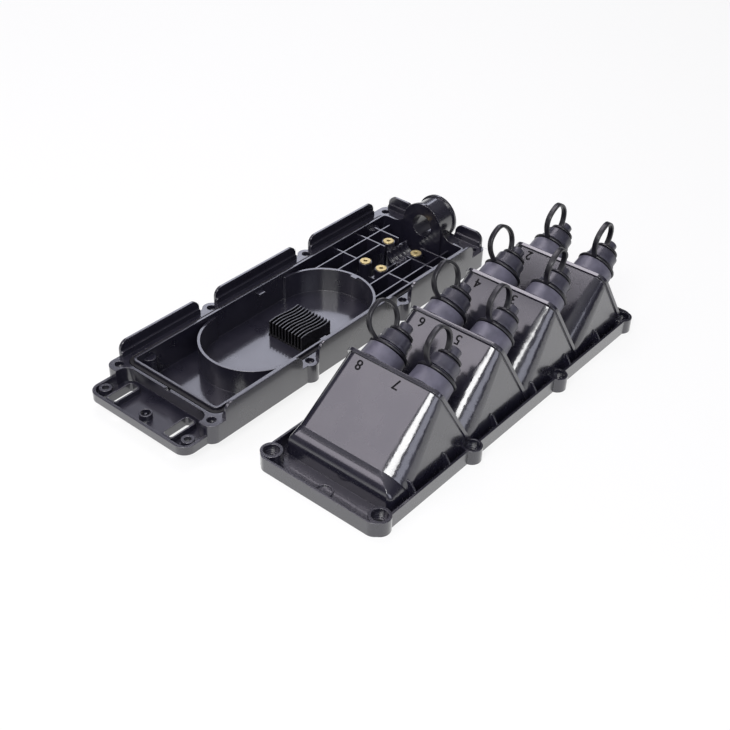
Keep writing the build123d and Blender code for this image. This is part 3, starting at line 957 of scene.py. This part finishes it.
@dataclass
class PanelNumerals:
    """The plain port numbers on the humps' sloping panels, in millimetres."""

    height: float = 8.0
    raised: float = 0.4
    buried: float = 0.3
    edge: float = 0.05
    share_of_type_size: float = 0.7
    curve_steps: int = 5
    panel_top_above_port: float = 17.4
    back_from_top: float = 7.0
    port_from_middle: float = 22.5
    left_from_middle: float = 27.0
    right_from_middle: float = -8.0
    drop: float = 100.0

    def seat(self, number: int, skin: BVHTree) -> Matrix:
        """Find where a number sits on its panel, its top towards the near end.

        Args:
            number: The port's number.
            skin: The cover's surface.

        Returns:
            The matrix from the number's own axes to the frame.
        """
        port = Port(number)
        is_left = number % 2 == 0
        middle_y = port.origin.y + (-self.port_from_middle if is_left else self.port_from_middle) * MM
        from_middle = self.left_from_middle if is_left else self.right_from_middle
        up_face = port.out.cross(Vector((0, 1, 0)))
        top = port.origin + up_face * self.panel_top_above_port * MM
        above = Vector((top.x - self.back_from_top * MM, middle_y + from_middle * MM, top.z + self.drop * MM))
        place, normal, _, _ = skin.ray_cast(above, Vector((0, 0, -1)))
        near_end = Vector((-1, 0, 0))
        up = (near_end - normal * near_end.dot(normal)).normalized()
        right = up.cross(normal)
        return Matrix.Translation(place) @ Matrix((right, up, normal)).transposed().to_4x4()

    def figure(self, number: int) -> bpy.types.Mesh:
        """Make one number as a solid, centred on its own axes.

        Args:
            number: The number that it shows.

        Returns:
            Its mesh in metres.
        """
        text = bpy.data.curves.new(f"figure_{number}", "FONT")
        text.body = str(number)
        text.resolution_u = self.curve_steps
        text.extrude = (self.raised + self.buried) / 2
        text.bevel_depth = self.edge
        text.size = self.height / self.share_of_type_size
        holder = in_scene(text.name, text)
        mesh = settled_mesh(holder)
        bpy.data.objects.remove(holder)
        low = Vector([min(v.co[axis] for v in mesh.vertices) for axis in range(3)])
        high = Vector([max(v.co[axis] for v in mesh.vertices) for axis in range(3)])
        scale = self.height / (high.y - low.y)
        middle = Vector(((low.x + high.x) / 2, (low.y + high.y) / 2, high.z))
        sizes = Matrix.Diagonal((scale * MM, scale * MM, MM, 1))
        mesh.transform(Matrix.Translation((0, 0, self.raised * MM)) @ sizes @ Matrix.Translation(-middle))
        return mesh

    def build(self, cover: bpy.types.Object, finish: bpy.types.Material) -> list[bpy.types.Object]:
        """Raise each number on its panel.

        Args:
            cover: The cover that carries the panels.
            finish: The figures' plastic.

        Returns:
            The eight pieces.
        """
        skin = BVHTree.FromObject(cover, bpy.context.evaluated_depsgraph_get())
        pieces = []
        for number in PORT_NUMBERS:
            mesh = self.figure(number)
            mesh.transform(self.seat(number, skin))
            mesh.materials.clear()
            mesh.materials.append(finish)
            piece = in_scene(f"port_number_{number}", mesh)
            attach(piece, FIXED_BODY)
            pieces.append(piece)
        return pieces


@dataclass
class Casings:
    """The pieces that come from the model as they are: which finish each takes and how soft its edges are."""

    edge_mm: float = 0.3
    flat_within: float = 0.5
    sharp_from: float = 35.0

    def finishes(self) -> dict[str, MouldedPolymer | TurnedBrass]:
        """Say which finish goes on which node."""
        chosen = {
            "cover_shell": COVER_PLASTIC,
            "base_tray": TRAY_PLASTIC,
            "rim_seal": SEAL_RUBBER,
            "splice_comb": COMB_RUBBER,
            "brass_inserts": INSERT_BRASS,
            "adapter_nuts": PORT_PLASTIC,
            "adapter_seals": SEAL_RUBBER,
        }
        for number in PORT_NUMBERS:
            chosen[f"adapter_{number}"] = PORT_PLASTIC
            chosen[f"dust_cap_{number}"] = CAP_PLASTIC
            chosen[f"cap_seal_{number}"] = SEAL_RUBBER
            chosen[f"tether_{number}"] = TETHER_RUBBER
        return chosen

    def dress(self, made: dict[str, bpy.types.Material]) -> None:
        """Give every node its material.

        Args:
            made: Materials by finish name.
        """
        for name, finish in self.finishes().items():
            node = frame["nodes"][name]
            node.data.materials.clear()
            node.data.materials.append(made[finish.name])
            self.soften(node)
            log.info("node %s in %s", name, finish.name)

    def soften(self, node: bpy.types.Object) -> None:
        """Clear a casting's flat faces of seams and soften its edges.

        Args:
            node: The node's object, or the piece that stands for it.
        """
        weld = node.modifiers.new("weld", "WELD")
        weld.merge_threshold = WELD_MM * MM
        flat = node.modifiers.new("flat_faces", "DECIMATE")
        flat.decimate_type = "DISSOLVE"
        flat.angle_limit = math.radians(self.flat_within)
        soften_edges(node, self.edge_mm, self.sharp_from)


@dataclass(frozen=True)
class Softbox:
    """One rectangular lamp, in metres: its radiance is one where its face is white."""

    name: str
    place: tuple[float, float, float]
    size: tuple[float, float]
    radiance: float
    colour: str
    faces_down: bool = True
    watts_per_white: float = 4.0

    def build(self) -> None:
        """Hang the lamp, facing straight down or towards the object."""
        lamp = bpy.data.lights.new(self.name, "AREA")
        lamp.shape = "RECTANGLE"
        lamp.size, lamp.size_y = self.size
        lamp.energy = self.radiance * self.watts_per_white * self.size[0] * self.size[1]
        lamp.color = linear_colour(self.colour)[:3]
        holder = in_scene(self.name, lamp)
        holder.location = self.place
        if not self.faces_down:
            holder.rotation_mode = "QUATERNION"
            holder.rotation_quaternion = Vector(self.place).to_track_quat("Z", "Y")
        holder.visible_camera = False


# The basin's and the bay's floors mirror the back panel
BACK_PANEL = Softbox("back_panel", (1.34, 1.38, 1.1), (1.2, 0.86), 2.0, "#eceeff")
# The three nearer humps' sloping panels mirror the left one
LEFT_PANEL = Softbox("left_panel", (-0.98, 0.7, 1.1), (0.86, 0.78), 1.75, "#fbf4ff")
# The last hump's panel is less steep and mirrors this one
FAR_PANEL = Softbox("far_panel", (0.2, 0.42, 1.1), (0.6, 0.6), 3.6, "#fbf4ff")
# The humps' near flanks mirror a lamp low beside the camera
NEAR_PANEL = Softbox("near_panel", (-0.42, -1.3, 0.66), (1.0, 0.55), 1.9, "#eceeff", faces_down=False)
# The strip draws the white line down each hump's shoulder
STRIP_LAMP = Softbox("strip_lamp", (-1.0, -0.37, 1.08), (0.8, 0.5), 9.0, "#ffffff", faces_down=False)


@dataclass
class Studio:
    """Floor, sky, lamps and camera, in metres and degrees."""

    camera_place: tuple[float, float, float] = (-0.6148, -0.4816, 0.576)
    camera_azimuth: float = -51.16
    camera_elevation: float = 36.61
    camera_roll: float = 1.97
    focal_pixels: float = 1171.0
    picture_pixels: float = 730.0
    sensor_mm: float = 36.0
    nearest_seen: float = 0.01
    farthest_seen: float = 50.0
    floor_size: float = 14.0
    floor_colour: str = "#f7f7f7"
    floor_share_lit: float = 0.85
    sky_stops: tuple[tuple[float, str], ...] = (
        (0.05, "#ffffff"),
        (0.13, "#47464c"),
        (0.6, "#57565c"),
        (1.0, "#b4b3b8"),
    )
    lamps: tuple[Softbox, ...] = (BACK_PANEL, LEFT_PANEL, FAR_PANEL, NEAR_PANEL, STRIP_LAMP)

    def camera(self) -> None:
        """Stand the camera where the picture was taken from."""
        azimuth = math.radians(self.camera_azimuth)
        elevation = math.radians(self.camera_elevation)
        back = Vector(
            (
                math.sin(azimuth) * math.cos(elevation),
                -math.cos(azimuth) * math.cos(elevation),
                math.sin(elevation),
            )
        )
        level_right = Vector((0, 0, 1)).cross(back).normalized()
        level_up = back.cross(level_right)
        roll = math.radians(self.camera_roll)
        right = level_right * math.cos(roll) + level_up * math.sin(roll)
        up = level_up * math.cos(roll) - level_right * math.sin(roll)
        lens = bpy.data.cameras.new("camera")
        lens.sensor_width = self.sensor_mm
        lens.lens = self.sensor_mm * self.focal_pixels / self.picture_pixels
        lens.clip_start = self.nearest_seen
        lens.clip_end = self.farthest_seen
        camera = in_scene("camera", lens)
        turned = Matrix((right, up, back)).transposed().to_4x4()
        camera.matrix_world = Matrix.Translation(self.camera_place) @ turned
        bpy.context.scene.camera = camera

    def floor(self) -> None:
        """Lay the pale floor, which shows white and keeps a soft shadow."""
        half = self.floor_size / 2
        corners = [Vector((x, y, 0)) for x, y in ((-half, -half), (half, -half), (half, half), (-half, half))]
        floor = new_piece("floor", corners, [(0, 1, 2, 3)], smooth=False)
        material = bpy.data.materials.new("white_paper_sweep")
        material.use_nodes = True
        tree = material.node_tree
        tree.nodes.clear()
        ray = add_node(tree, "ShaderNodeLightPath")
        seen = add_node(tree, "ShaderNodeMath", operation="MAXIMUM")
        tree.links.new(ray.outputs["Is Camera Ray"], seen.inputs[0])
        tree.links.new(ray.outputs["Is Glossy Ray"], seen.inputs[1])
        through = add_node(tree, "ShaderNodeMath", operation="MAXIMUM")
        tree.links.new(seen.outputs["Value"], through.inputs[0])
        tree.links.new(ray.outputs["Is Transmission Ray"], through.inputs[1])
        share = add_node(tree, "ShaderNodeMath", operation="MULTIPLY")
        tree.links.new(through.outputs["Value"], share.inputs[0])
        share.inputs[1].default_value = self.floor_share_lit
        paper = add_node(tree, "ShaderNodeBsdfDiffuse", values={"Color": linear_colour(self.floor_colour)})
        white = add_node(
            tree,
            "ShaderNodeEmission",
            values={"Color": linear_colour("#ffffff"), "Strength": 1.0},
        )
        mix = add_node(tree, "ShaderNodeMixShader", links={"Fac": share.outputs["Value"]})
        tree.links.new(paper.outputs["BSDF"], mix.inputs[1])
        tree.links.new(white.outputs["Emission"], mix.inputs[2])
        add_node(tree, "ShaderNodeOutputMaterial", links={"Surface": mix.outputs["Shader"]})
        floor.data.materials.append(material)

    def sky(self) -> None:
        """Surround the object with a pale room: white near the horizon, dimmer above it."""
        world = bpy.data.worlds.new("studio_room")
        world.use_nodes = True
        tree = world.node_tree
        tree.nodes.clear()
        direction = add_node(tree, "ShaderNodeTexCoord").outputs["Generated"]
        height = add_node(tree, "ShaderNodeSeparateXYZ", links={"Vector": direction}).outputs["Z"]
        ramp = add_node(tree, "ShaderNodeValToRGB", links={"Fac": height})
        elements = ramp.color_ramp.elements
        for index, (place, colour) in enumerate(self.sky_stops):
            stop = elements[index] if index < len(elements) else elements.new(place)
            stop.position = place
            stop.color = linear_colour(colour)
        light = add_node(tree, "ShaderNodeBackground", links={"Color": ramp.outputs["Color"]})
        add_node(tree, "ShaderNodeOutputWorld", links={"Surface": light.outputs["Background"]})
        bpy.context.scene.world = world

    def build(self) -> None:
        """Set up the whole studio."""
        self.camera()
        self.floor()
        self.sky()
        for lamp in self.lamps:
            lamp.build()
        bpy.context.scene.view_settings.view_transform = "Standard"


def main() -> None:
    """Dress the terminal and build its studio."""
    logging.basicConfig(level=logging.INFO, format="%(message)s")
    finishes = (
        COVER_PLASTIC,
        TRAY_PLASTIC,
        FIGURE_PLASTIC,
        PORT_PLASTIC,
        CAP_PLASTIC,
        TETHER_RUBBER,
        SEAL_RUBBER,
        COMB_RUBBER,
        INSERT_BRASS,
    )
    made = {finish.name: finish.material() for finish in finishes}
    casings = Casings()
    casings.dress(made)
    cover = MouldedCover().build()
    casings.soften(cover)
    log.info("cover %s", cover.name)
    for piece in Tethers().build(made[TETHER_RUBBER.name]):
        log.info("tether %s", piece.name)
    for piece in PortThreads().build(made[PORT_PLASTIC.name]):
        log.info("thread %s", piece.name)
    log.info("comb %s", SpliceComb().build(made[COMB_RUBBER.name]).name)
    for piece in PanelNumerals().build(cover, made[FIGURE_PLASTIC.name]):
        log.info("numeral %s", piece.name)
    Studio().build()


if __name__ == "__main__":
    main()
